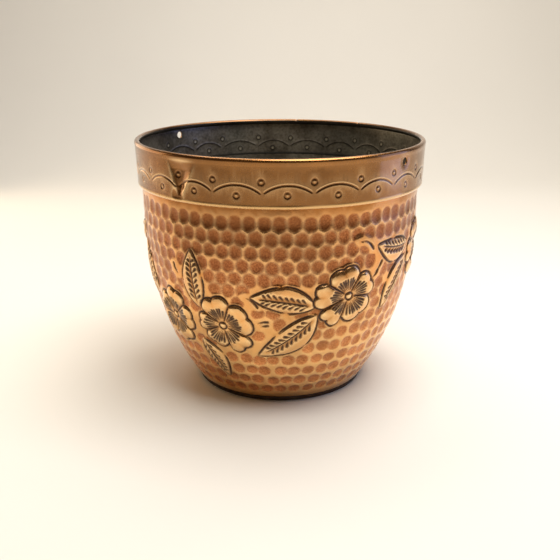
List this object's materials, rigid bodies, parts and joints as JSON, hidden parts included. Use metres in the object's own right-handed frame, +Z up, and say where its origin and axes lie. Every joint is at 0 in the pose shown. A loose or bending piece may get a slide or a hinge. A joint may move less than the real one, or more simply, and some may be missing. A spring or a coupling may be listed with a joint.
{
  "type": "planter pot",
  "caption": "Round hammered brass planter pot with a curved bowl, a plain rolled-rim band with opposite handle holes and a shallow flat foot.",
  "frame": {"origin": "centre of the foot, on the surface that the pot stands on", "axes": "+Z up along the pot's axis, -Y to its front; the two handle holes lie on a line turned 52 degrees from the front"},
  "size_m": [0.25, 0.25, 0.217],
  "materials": {
    "hammered_brass": "hammered and chased, ridges rubbed bright, hollows tarnished pink-brown",
    "plain_brass": "satin, rubbed, with a few old dents",
    "iron_wire": "drawn wire, hidden in the rolled rim",
    "tarnished_brass": "tarnished almost black",
    "soft_solder": "dull grey, wiped"
  },
  "bodies": {
    "root": {"bowl": "hammered_brass", "collar": "plain_brass", "rim_wire": "iron_wire", "base_pan": "tarnished_brass", "collar_solder": "soft_solder", "base_solder": "soft_solder"}
  },
  "joints": []
}
